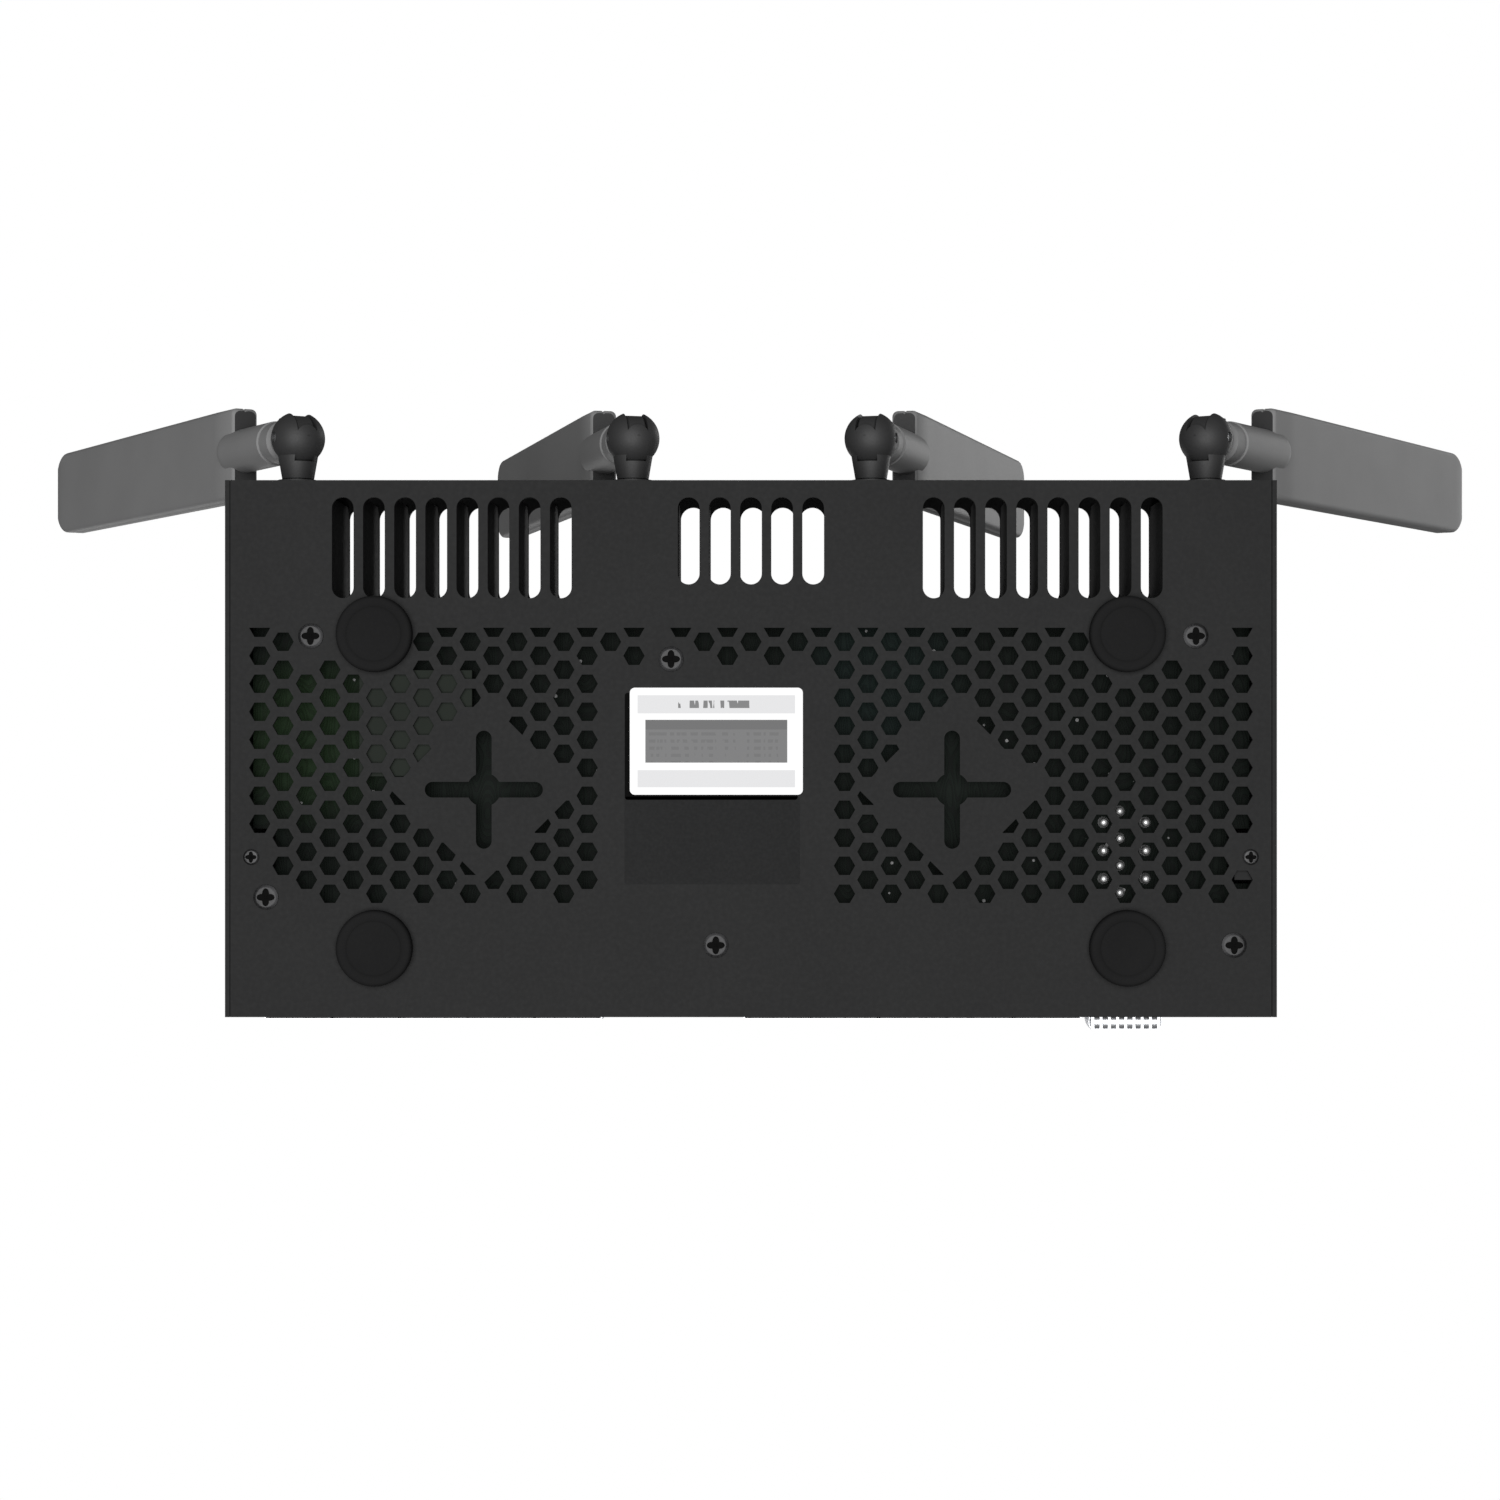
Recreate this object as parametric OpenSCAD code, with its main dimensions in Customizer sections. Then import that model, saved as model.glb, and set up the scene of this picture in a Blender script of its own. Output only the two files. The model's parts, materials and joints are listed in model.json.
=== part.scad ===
// Wireless router: a folded sheet-metal case with ten network sockets, a fibre
// module cage, a power jack, a reset button and four folding paddle antennas.
// Millimetres, +Z up, the front faces -Y, and the rubber feet stand on z = 0.

/* [Case] */
// Width of the case, left to right
case_w = 228; // [228:1:290]
// Depth of the case, front to rear
case_d = 116.4; // [105:0.1:150]
// Height of the sheet metal without the feet
case_h = 27.5; // [25:0.5:36]
// Thickness of the sheet metal
sheet_t = 1; // [0.8:0.1:1.4]
// Gap in every seam between the cover and the tray
seam = 0.15; // [0.1:0.05:0.3]
// Clearance of a lead, light or connector in its panel cut-out
panel_gap = 0.3; // [0.2:0.05:0.6]

/* [Feet] */
// Diameter of a rubber foot
foot_d = 16.5; // [12:0.5:20]
// Height of a rubber foot
foot_h = 2.5; // [1.5:0.5:5]
// Distance of the feet from the side faces
foot_side = 32.5; // [25:0.5:40]
// Distance of the front feet from the front face
foot_front = 15; // [12:0.5:20]
// Distance of the rear feet from the rear face
foot_rear = 33.4; // [30:0.5:36]

/* [Vents] */
// Width of a honeycomb hole across its flats
hex_w = 4; // [3:0.1:4.6]
// Distance between honeycomb columns
hex_col = 5.07; // [4.8:0.01:6]
// Distance between holes down a column
hex_row = 6.07; // [5.6:0.01:7]
// Rows of holes in each column
hex_rows = 10; // [8:1:10]
// Distance of the honeycomb from the rear face
hex_rear = 32; // [30:0.5:36]
// Distance of the outermost column's centres from the side faces
hex_side = 7.4; // [6:0.1:12]
// Width of a through slot near the rear edge
slot_w = 4.7; // [3:0.1:5]
// Distance between through slots
slot_pitch = 6.75; // [6:0.05:8]
// Length of the slots in the middle group
slot_mid_len = 18.9; // [12:0.1:20]
// Length of the slots in the side groups
slot_side_len = 21.9; // [14:0.1:23]
// Distance of the slots from the rear face
slot_rear = 3.7; // [3:0.1:5]

/* [Wall keyholes] */
// Distance between the two cross-shaped keyholes
key_span = 101.5; // [90:0.5:120]
// Diameter of the round middle of a keyhole
key_d = 7.4; // [6:0.1:9]
// Width of the keyhole's four arms
key_slot = 3.4; // [2.5:0.1:4.5]
// Keyhole length from the tip of one arm to the tip of the opposite arm
key_len = 25.6; // [18:0.1:30]

/* [Network sockets] */
// Sockets in one block
ports = 5; // [2:1:5]
// Width of one socket with its share of the block
port_pitch = 14.8; // [14:0.1:15]
// Width of a socket's mouth
port_w = 11.8; // [11.6:0.1:12]
// Height of a socket's mouth
port_h = 7; // [6.8:0.1:7.4]
// Height of a socket block
block_h = 13.4; // [12:0.1:15]
// Depth of a socket block
block_d = 21; // [18:0.5:26]
// How far the socket blocks stand out of the front
block_out = 1.2; // [0.5:0.1:2]

/* [Fibre module cage] */
// Outside width of the cage
cage_w = 15; // [14.6:0.1:16]
// Outside height of the cage
cage_h = 10; // [9.6:0.1:11]
// Length of the cage
cage_len = 48; // [44:0.5:52]
// Thickness of the cage's sheet metal
cage_t = 0.4; // [0.3:0.05:0.5]
// How far the cage's lip stands out of the front
cage_out = 3.4; // [2:0.1:5]

/* [Antennas] */
// Distance of the outer antennas from the side faces
ant_side = 13.4; // [12:0.1:20]
// Distance of the inner antennas from the middle
ant_inner = 26.4; // [24:0.1:30]
// Outward lean of the outer antennas
lean_outer = 33; // [0:1:40]
// Outward lean of the inner antennas
lean_inner = 16; // [0:1:30]
// Diameter of the hinge ball
ball_d = 11.8; // [11:0.1:14]
// Distance of the ball's centre behind the case
ball_back = 10.5; // [10:0.1:14]
// Length from the hinge to the paddle's tip
ant_len = 157; // [110:1:180]
// Width of a paddle
paddle_w = 21.2; // [16:0.1:26]
// Thickness of a paddle
paddle_t = 6.4; // [5.6:0.1:9]
// Distance from the case's upper corner to the root of a paddle that swings past it
root_gap = 11.8; // [6:0.1:16]
// Wall of a paddle's sleeve
sleeve_t = 1; // [0.8:0.1:1.6]
// Diameter of the round arm at the paddle's root
arm_d = 10; // [9:0.1:12]
// Diameter of the hinge pin
pin_d = 2.4; // [2:0.1:3]
// Radial running clearance of the hinge pin and the swivel
run_gap = 0.05; // [0.03:0.01:0.08]
// Gap between parts that move past each other
move_gap = 0.3; // [0.2:0.05:0.4]

/* [Reset button] */
// Diameter of the reset button
button_d = 3.2; // [2.6:0.1:4]
// Travel of the reset button
button_travel = 0.8; // [0.5:0.1:1.2]

/* [Hidden] */
$fn = 48;
eps = 0.01;

// Case levels and faces, seen from the middle of the case
front_y = -case_d / 2;
rear_y = case_d / 2;
side_x = case_w / 2;
floor_z = foot_h;
floor_top = floor_z + sheet_t;
roof_z = foot_h + case_h;
roof_low = roof_z - sheet_t;
wall_x = side_x - sheet_t - seam;
wall_top = roof_low - seam;
// A paddle's middle stands this far in front of its hinge
paddle_shift = 0.7;
// The outline with its lip and antennas is centred on y = 0
case_y = (cage_out - ball_back + paddle_shift - paddle_w / 2) / 2;

// Board and what carries it
spacer_h = 4;
spacer_w = 5.5;
spacer_hole_r = 1.3;
board_t = 1.6;
board_z = floor_top + spacer_h;
board_top = board_z + board_t;
board_side = 4;
board_front = 4.6;
board_rear = 29.4;
board_w = 2 * (wall_x - board_side);
board_y = [front_y + board_front, rear_y - board_rear];
screw_head_r = 2.7;
screw_head_h = 0.8;
screw_r = 1.25;
screw_hole_r = 1.5;
screw_grip = 2;
base_screw_len = sheet_t + screw_grip;
board_screw_len = board_t + screw_grip - 0.4;
driver_r = 0.9;
driver_w = 0.5;
driver_depth = 0.5;
// Socket blocks, left and right as the front is seen, with the lights and the button between them
block_w = ports * port_pitch;
middle_gap = 31;
right_block_x = side_x - 7.3 - block_w / 2;
left_block_x = right_block_x - block_w - middle_gap;
middle_from = left_block_x + block_w / 2;
// Base screws: distances from the left or right face, or from the left block, and from the rear or front face
screw_spots = [
    [side_x - 18.6, rear_y - 33.8], [-side_x + 17.6, rear_y - 33.8], [middle_from + 15.6, rear_y - 38.8],
    [side_x - 8.9, front_y + 26], [middle_from + 5.9, front_y + 15.6], [-side_x + 9.3, front_y + 15.6]
];
// Cover screws go up through the floor into the cover's inward tabs
tab_w = 9;
tab_len = 10;
tab_hole_r = 1.25;
notch_gap = 1;
cover_screw_x = side_x - 5.7;
cover_screw_y = front_y + 34.7;
cover_head_r = 1.7;

// Inside a socket block
shield_t = 0.3;
body_gap = 0.05;
block_y = front_y - block_out;
socket_depth = 13;
mouth_z = 3.2;
contact_n = 8;
contact_pitch = 1.02;
contact_w = 0.5;
contact_t = 0.25;
contact_len = 9;
contact_in = 3;
contact_drop = 0.35;
contact_tilt = -12;
lug_w = 6;
lug_h = 2.2;

// Fibre cage, power jack, reset and lights
cage_x = -side_x + 32;
cage_in_w = cage_w - 2 * cage_t;
connector_d = 9;
connector_h = 6;
connector_side = 1;
card_slot = [10, 6, 1.4];
card_z = 3.2;
jack_x = -side_x + 16.7;
jack_w = 9;
jack_h = 11;
jack_d = 13;
jack_bore_r = 3.15;
jack_pin_r = 1;
jack_bore_d = 11;
jack_pin_in = 3;
jack_z = board_top + 6.5;
jack_face = 0.3;
button_x = middle_from + 23.3;
button_z = board_top + 3;
switch_w = 7;
switch_h = 6;
switch_d = 8;
button_out = 0.6;
button_in = sheet_t + 4;
button_bore_gap = 0.1;
light_x = middle_from + 4.3;
light_n = 5;
light_pitch = 3;
light_r = 1;
light_z = board_top + 7;
guide_d = 8;
guide_h = 3;
light_out = 0.2;
led_size = [1.6, 1.2, 0.8];

// Antenna stations
ant_x = [-side_x + ant_side, -ant_inner, ant_inner, side_x - ant_side];
ant_lean = [-lean_outer, -lean_inner, lean_inner, lean_outer];
ant_z = floor_z + case_h / 2;
neck_r = 3.5;
ball_neck_r = 4.6;
collar_r = 4.4;
thread_r = 3.2;
thread_in = 6;
panel_hole_r = thread_r + 0.1;
collar_t = 1.2;
spigot_r = 2.2;
nut_w = 10;
nut_t = 2.2;
lead_r = 0.9;
lead_grip = 3;
tongue_t = 4;
tongue_r = ball_d / 2 - 0.9;
ball_cut = tongue_r + move_gap;
// The wall left between the ball's slot and the spigot's bore is 0.6
spigot_len = ball_back - collar_t - ball_cut - move_gap - 0.6;
pin_inset = 0.5;
neck_in = 2.6;
cheek_gap = tongue_t + 2 * move_gap;
arm_start = ball_d / 2 + move_gap + 0.1;
sleeve_start = norm([ant_side, case_h / 2]) + root_gap;
arm_end = sleeve_start + 4;
tip_r = 4.5;

module at_case() translate([0, case_y, 0]) children();

module antenna_place(i)
    at_case() translate([ant_x[i], rear_y + ball_back, ant_z]) rotate([0, ant_lean[i], 0]) children();

// A cylinder whose axis points along +Y
module rod_y(r, len) rotate([-90, 0, 0]) cylinder(r = r, h = len);

// A flat outline with round ends, along Y, centred on the origin
module slot_outline(w, len) {
    square([w, len - w], center = true);
    for (s = [-1, 1]) translate([0, s * (len - w) / 2]) circle(d = w);
}

// ---------------------------------------------------------------- case

// The cover's slots are a little wider than the tray's, to let more air out
cover_slot_more = 0.9;
// The outer slot groups stand between the antennas of each side
between_x = (ant_x[3] + ant_x[2]) / 2;
group_x = [-between_x + 0.25, between_x + 1.35];

module slot_groups(w) {
    for (k = [-2:2])
        translate([k * slot_pitch, rear_y - slot_rear - slot_mid_len / 2]) slot_outline(w, slot_mid_len);
    for (x = group_x, k = [-3.5:3.5])
        translate([x + k * slot_pitch, rear_y - slot_rear - slot_side_len / 2]) slot_outline(w, slot_side_len);
}

// A vane stands on the floor between two slots and reaches up to the cover
vane_t = 1;
vane_h = wall_top - floor_top;

module vane(x, len)
    translate([x - vane_t / 2, rear_y - slot_rear - len, floor_top]) cube([vane_t, len, vane_h]);

module vent_vanes() color("#2b2b2b") at_case() {
    for (k = [-2.5:2.5]) vane(k * slot_pitch, slot_mid_len);
    for (x = group_x, k = [-4:4]) vane(x + k * slot_pitch, slot_side_len);
}

key_y = front_y + 49.3;
key_shift = 7.15;
key_x = [for (s = [-1, 1]) s * key_span / 2 + key_shift];
key_clear = 20.2;
hex_last = floor((side_x - hex_side) / hex_col);
panel_from = -19;
panel_to = 34;
panel_top = rear_y - 39.5;

// How far a point is from the nearest keyhole, measured along the two axes added together
function key_distance(p) = min([for (x = key_x) abs(p[0] - x) + abs(p[1] - key_y)]);
function near(p, spots, r) = len([for (s = spots) if (norm(p - s) < r) 1]) > 0;
function hex_y(col, row) = rear_y - hex_rear - (row + (abs(col) % 2 == 0 ? 0.5 : 0)) * hex_row;
function in_panel(p) = p[0] > panel_from && p[0] < panel_to && p[1] < panel_top;
foot_spots = [
    for (sx = [-1, 1], y = [front_y + foot_front, rear_y - foot_rear]) [sx * (side_x - foot_side), y]
];
cover_spots = [[-cover_screw_x, cover_screw_y], [cover_screw_x, cover_screw_y]];
foot_clear = foot_d / 2 + hex_w / 2 + 0.3;
head_clear = screw_head_r + hex_w / 2 + 0.6;
cover_clear = cover_head_r + hex_w / 2 + 0.5;
hex_spots = [
    for (col = [-hex_last:hex_last], row = [0:hex_rows - 1])
        let (p = [col * hex_col, hex_y(col, row)])
            if (key_distance(p) > key_clear - 0.8 && !in_panel(p) && !near(p, foot_spots, foot_clear)
                && !near(p, screw_spots, head_clear) && !near(p, cover_spots, cover_clear)) p
];

module honeycomb() {
    intersection() {
        difference() {
            for (p = hex_spots) translate(p) circle(d = hex_w / cos(30), $fn = 6);
            for (x = key_x) translate([x, key_y]) rotate(45) square(key_clear * sqrt(2), center = true);
        }
        translate([0, rear_y - hex_rear - case_d / 2]) square([case_w, case_d], center = true);
    }
}

module keyholes() {
    for (x = key_x) translate([x, key_y]) {
        circle(d = key_d);
        slot_outline(key_slot, key_len);
        rotate(90) slot_outline(key_slot, key_len);
    }
}

module round_holes(spots, r) for (p = spots) translate(p) circle(r = r);

module front_openings() {
    for (x = [left_block_x, right_block_x])
        translate([x, board_top + block_h / 2])
            square([block_w + 2 * panel_gap, block_h + 2 * panel_gap], center = true);
    translate([cage_x, board_top + cage_h / 2])
        square([cage_w + 2 * panel_gap, cage_h + 2 * panel_gap], center = true);
    translate([jack_x, jack_z]) circle(r = jack_bore_r + panel_gap);
    translate([button_x, button_z]) circle(r = button_d / 2 + panel_gap);
    for (k = [0:light_n - 1]) translate([light_x + k * light_pitch, light_z]) circle(r = light_r + panel_gap);
}

// A wall that stands on the floor: its outline is drawn in X and Z
module wall(y, from_z, to_z) {
    translate([0, y, 0]) rotate([90, 0, 0]) translate([0, 0, -sheet_t]) linear_extrude(sheet_t) difference() {
        translate([-wall_x, from_z]) square([2 * wall_x, to_z - from_z]);
        children();
    }
}

module bottom_tray() color("#2f2f2f") at_case() {
    translate([0, 0, floor_z]) linear_extrude(sheet_t) difference() {
        square([2 * wall_x, case_d], center = true);
        slot_groups(slot_w);
        honeycomb();
        keyholes();
        round_holes(screw_spots, screw_hole_r);
        round_holes(cover_spots, screw_hole_r);
    }
    wall(front_y, floor_z + eps, wall_top) front_openings();
    wall(rear_y - sheet_t, floor_z + eps, wall_top)
        for (x = ant_x) translate([x, ant_z]) circle(r = panel_hole_r);
}

module top_cover() color("#343434") at_case() {
    translate([0, 0, roof_low]) linear_extrude(sheet_t) difference() {
        square([case_w, case_d], center = true);
        slot_groups(slot_w + cover_slot_more);
    }
    for (s = [-1, 1]) {
        translate([s * (side_x - sheet_t / 2), 0, floor_z + case_h / 2])
            cube([sheet_t, case_d, case_h], center = true);
        difference() {
            translate([s * (side_x - tab_w / 2), cover_screw_y, floor_top + seam + sheet_t / 2])
                cube([tab_w, tab_len, sheet_t], center = true);
            translate([s * cover_screw_x, cover_screw_y, floor_z]) cylinder(r = tab_hole_r, h = 3 * sheet_t);
        }
    }
}

// A pan-head screw that points up, its head's face on z = 0
module screw(head_r, r, len) {
    difference() {
        translate([0, 0, -screw_head_h]) cylinder(r = head_r, h = screw_head_h);
        translate([0, 0, -screw_head_h - eps]) for (a = [0, 90]) rotate(a)
            translate([-driver_r, -driver_w / 2, 0]) cube([2 * driver_r, driver_w, driver_depth]);
    }
    cylinder(r = r, h = len);
}

module base_screws() color("#c9ccd0") at_case()
    for (p = screw_spots) translate([p[0], p[1], floor_z]) screw(screw_head_r, screw_r, base_screw_len);

module cover_screws() color("#c9ccd0") at_case()
    for (p = cover_spots)
        translate([p[0], p[1], floor_z]) screw(cover_head_r, tab_hole_r - eps, 2 * sheet_t + seam);

module rubber_feet() color("#242424") at_case()
    for (p = foot_spots) translate([p[0], p[1], 0]) cylinder(d = foot_d, h = foot_h);

label_w = 37.5;
label_d = 23.2;
label_t = 0.1;
label_drop = 5.5;

module rating_label() color("#f4f4f4") at_case()
    translate([(panel_from + panel_to) / 2, panel_top - label_d / 2 - label_drop, floor_z - label_t / 2])
        cube([label_w, label_d, label_t], center = true);

// ---------------------------------------------------------------- board

module board_outline() {
    difference() {
        translate([-board_w / 2, board_y[0]]) square([board_w, board_y[1] - board_y[0]]);
        round_holes(screw_spots, screw_hole_r);
        for (p = cage_pins) translate(p) circle(r = cage_pin_r + 0.15);
        // The cover's tabs and their screws need a notch at each side
        for (s = [-1, 1]) translate([s * side_x, cover_screw_y])
            square([2 * (tab_w + notch_gap), tab_len + 2 * notch_gap], center = true);
    }
}

module main_board() color("#1d5a34") at_case()
    translate([0, 0, board_z]) linear_extrude(board_t) board_outline();

module board_spacers() color("#b9a26a") at_case()
    for (p = screw_spots) translate([p[0], p[1], floor_top]) difference() {
        cylinder(d = spacer_w / cos(30), h = spacer_h, $fn = 6);
        translate([0, 0, -eps]) cylinder(r = spacer_hole_r, h = spacer_h + 2 * eps);
    }

module board_screws() color("#c9ccd0") at_case()
    for (p = screw_spots) translate([p[0], p[1], board_top]) mirror([0, 0, 1])
        screw(screw_head_r, screw_r, board_screw_len);

// ---------------------------------------------------------------- network sockets

module port_places(x) for (k = [0:ports - 1])
    translate([x + (k - (ports - 1) / 2) * port_pitch, block_y, board_top]) children();

// The socket's mouth with the stepped notch for the plug's latch under it
module mouth_outline() {
    translate([-port_w / 2, mouth_z]) square([port_w, port_h]);
    translate([-lug_w / 2, mouth_z - lug_h]) square([lug_w, lug_h + eps]);
}

module socket_shields() color("#bfc3c6") at_case() for (x = [left_block_x, right_block_x]) difference() {
    translate([x - block_w / 2, block_y, board_top]) cube([block_w, block_d, block_h]);
    translate([x - block_w / 2 + shield_t, block_y + shield_t, board_top - eps])
        cube([block_w - 2 * shield_t, block_d - 2 * shield_t, block_h - shield_t]);
    port_places(x) rotate([90, 0, 0]) translate([0, 0, -2 * shield_t])
        linear_extrude(3 * shield_t) mouth_outline();
}

module socket_bodies(x) color("#161616") at_case() {
    port_places(x) difference() {
        inner = port_pitch - 2 * shield_t - 2 * body_gap;
        translate([-inner / 2, shield_t + body_gap, 0])
            cube([inner, block_d - 2 * shield_t - 2 * body_gap, block_h - shield_t - body_gap]);
        translate([0, socket_depth, 0]) rotate([90, 0, 0]) linear_extrude(socket_depth) mouth_outline();
    }
}

// Eight spring contacts that slope down into each socket
module socket_contacts() color("#d7ab3c") at_case() {
    for (x = [left_block_x, right_block_x]) port_places(x) for (k = [0:contact_n - 1])
        translate([(k - (contact_n - 1) / 2) * contact_pitch, contact_in, mouth_z + port_h - contact_drop])
            rotate([contact_tilt, 0, 0]) translate([-contact_w / 2, 0, -contact_t])
                cube([contact_w, contact_len, contact_t]);
}

module left_socket_bodies() socket_bodies(left_block_x);
module right_socket_bodies() socket_bodies(right_block_x);

// ---------------------------------------------------------------- fibre cage and power

cage_y = front_y - cage_out;
cage_pin_r = 0.55;
// Columns of pins: distance from the cage's middle and from its closed end, pitch and number
pin_columns = [[5.1, 2.5, 6.15, 3], [1.7, 0.1, 5.9, 4], [-4, 2.5, 6.15, 3]];
cage_pins = [
    for (c = pin_columns, row = [0:c[3] - 1]) [cage_x + c[0], cage_y + cage_len - c[1] - row * c[2]]
];
cage_pin_out = 1.6;

module fibre_cage() color("#c4c7c9") at_case() {
    difference() {
        translate([cage_x - cage_w / 2, cage_y, board_top]) cube([cage_w, cage_len, cage_h]);
        translate([cage_x - cage_in_w / 2, cage_y - eps, board_top + cage_t])
            cube([cage_in_w, cage_len - cage_t, cage_h - 2 * cage_t]);
    }
    for (p = cage_pins) translate([p[0], p[1], board_z - cage_pin_out])
        cylinder(r = cage_pin_r, h = board_t + cage_pin_out + cage_t / 2);
}

module fibre_connector() color("#1a1a1a") at_case() difference() {
    connector_y = cage_y + cage_len - cage_t - connector_d - body_gap;
    translate([cage_x - cage_in_w / 2 + connector_side, connector_y, board_top + cage_t + body_gap])
        cube([cage_in_w - 2 * connector_side, connector_d, connector_h]);
    translate([cage_x - card_slot[0] / 2, connector_y - 1, board_top + card_z]) cube(card_slot);
}

module power_jack() color("#151515") at_case() difference() {
    translate([jack_x - jack_w / 2, front_y + sheet_t + jack_face, board_top]) cube([jack_w, jack_d, jack_h]);
    translate([jack_x, front_y, jack_z]) rod_y(jack_bore_r, jack_bore_d);
    jack_pin_shape();
}

module jack_pin_shape() translate([jack_x, front_y + jack_pin_in, jack_z]) rod_y(jack_pin_r, jack_bore_d - 2);

module power_pin() color("#d4d4d4") at_case() jack_pin_shape();

module reset_switch() color("#202020") at_case() difference() {
    translate([button_x - switch_w / 2, front_y + sheet_t + move_gap, board_top])
        cube([switch_w, switch_d, switch_h]);
    translate([button_x, front_y, button_z])
        rod_y(button_d / 2 + button_bore_gap, button_in + button_travel + move_gap);
}

module reset_button() color("#8e1d1d") at_case()
    translate([button_x, front_y - button_out, button_z]) rod_y(button_d / 2, button_out + button_in);

module light_guide() color("#e8eef0") at_case() {
    guide_w = (light_n - 1) * light_pitch + guide_h;
    translate([light_x - guide_h / 2, front_y + sheet_t + panel_gap, light_z - guide_h / 2])
        cube([guide_w, guide_d, guide_h]);
    for (k = [0:light_n - 1]) translate([light_x + k * light_pitch, front_y - light_out, light_z])
        rod_y(light_r, light_out + sheet_t + 2 * panel_gap);
}

module status_lights() color("#9be08a") at_case()
    for (k = [0:light_n - 1])
        on_board(light_x + k * light_pitch, front_y + sheet_t + panel_gap + guide_d - led_size[1], led_size);

// ---------------------------------------------------------------- parts on the board

chip_x = -3;
chip_y = board_y[1] - 26;
chip_size = [24, 24, 1.6];
sink_w = 34;
sink_h = 10;
sink_base = 2.5;
sink_fins = 9;
fin_t = 1.2;
memory_size = [12, 10, 1.2];
memory_pitch = 13;
switch_size = [22, 22, 1.6];
module_size = [14, 8, 5.5];
module_pitch = 16.5;
coil_size = [8.5, 8.5, 5];
coil_pitch = 11;
radio_size = [34, 19, 3];
capacitor_d = 8;
capacitor_h = 10;
capacitor_pitch = 10;

// A flat part that stands on the board, placed by the middle of its outline
module on_board(x, y, size) translate([x - size[0] / 2, y - size[1] / 2, board_top]) cube(size);

module processor() color("#2a2a2c") at_case() on_board(chip_x, chip_y, chip_size);

module heat_sink() color("#9aa0a6") at_case() {
    translate([chip_x - sink_w / 2, chip_y - sink_w / 2, board_top + chip_size[2]]) {
        cube([sink_w, sink_w, sink_base]);
        for (k = [0:sink_fins - 1])
            translate([k * (sink_w - fin_t) / (sink_fins - 1), 0, 0]) cube([fin_t, sink_w, sink_h]);
    }
}

// A soft pad that carries heat from the underside of the board to the case floor
pad_x = side_x - 41.2;
pad_y = rear_y - 52.7;
pad_w = 24.4;
pad_d = 23;

module thermal_pad() color("#4a504a") at_case()
    translate([pad_x - pad_w / 2, pad_y - pad_d / 2, floor_top]) cube([pad_w, pad_d, spacer_h]);

module memory_chips() color("#242426") at_case()
    for (k = [-1.5:1.5]) on_board(chip_x - 32, chip_y + memory_pitch * k, memory_size);

module switch_chip() color("#262628") at_case() on_board(side_x - 45, front_y + 48, switch_size);

module transformer_modules() color("#1c1c1e") at_case()
    for (x = [left_block_x, right_block_x], k = [-1.5:1.5])
        on_board(x + k * module_pitch, block_y + block_d + 6, module_size);

module capacitors() color("#34363c") at_case()
    for (k = [0:2]) translate([-side_x + 14, front_y + 46 + capacitor_pitch * k, board_top])
        cylinder(d = capacitor_d, h = capacitor_h);

module power_coils() color("#3b3b3e") at_case()
    for (k = [0:2]) on_board(-side_x + 56, board_y[1] - 10 - coil_pitch * k, coil_size);

module radio_shield() color("#b8bcbf") at_case() on_board(side_x - 45, board_y[1] - 12, radio_size);

// ---------------------------------------------------------------- antennas

module antenna_nuts() color("#c9a94f") at_case()
    for (x = ant_x) translate([x, rear_y - sheet_t - nut_t, ant_z]) difference() {
        rotate([-90, 0, 0]) cylinder(d = nut_w / cos(30), h = nut_t, $fn = 6);
        translate([0, -eps, 0]) rod_y(thread_r, nut_t + 2 * eps);
    }

// A lead's route in Y and Z: from low on the board, level, up a smooth slope and level again
lead_sides = 8;
lead_steps = 10;
plug_w = 3;
plug_h = 3.2;
plug_y = board_y[1] - 10;
plug_z = board_top + 2;
lead_from = plug_y + plug_w / 2 + eps;
lead_to = rear_y - sheet_t - thread_in + lead_grip;
slope_from = plug_y + 11;
slope_to = rear_y - sheet_t - thread_in - 3;
lead_y = [
    lead_from, for (k = [0:lead_steps]) slope_from + (slope_to - slope_from) * k / lead_steps, lead_to
];
function slope_share(y) =
    let (t = min(1, max(0, (y - slope_from) / (slope_to - slope_from)))) t * t * (3 - 2 * t);
lead_route = [for (y = lead_y) [y, plug_z + (ant_z - plug_z) * slope_share(y)]];

// A round tube along a route in the plane x = 0, closed at both ends
module tube_along(route, r, sides) {
    last = len(route) - 1;
    points = [
        for (k = [0:last])
            let (ahead = route[min(k + 1, last)] - route[max(k - 1, 0)])
            let (across = [-ahead[1], ahead[0]] / norm(ahead))
                for (a = [0:sides - 1])
                    let (turn = 360 * a / sides, p = route[k] + r * sin(turn) * across)
                        [r * cos(turn), p[0], p[1]]
    ];
    faces = concat(
        [[for (a = [sides - 1:-1:0]) a]],
        [[for (a = [0:sides - 1]) last * sides + a]],
        [for (k = [0:last - 1], a = [0:sides - 1])
            let (b = (a + 1) % sides)
                [k * sides + a, k * sides + b, (k + 1) * sides + b, (k + 1) * sides + a]]
    );
    polyhedron(points, faces, convexity = 4);
}

// A lead leaves its antenna's base and ends in a plug on the board
module antenna_lead(i) color("#2b2b2d") at_case() translate([ant_x[i], 0, 0]) {
    tube_along(lead_route, lead_r, lead_sides);
    translate([-plug_w / 2, plug_y - plug_w / 2, board_top]) cube([plug_w, plug_w, plug_h]);
}

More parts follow.
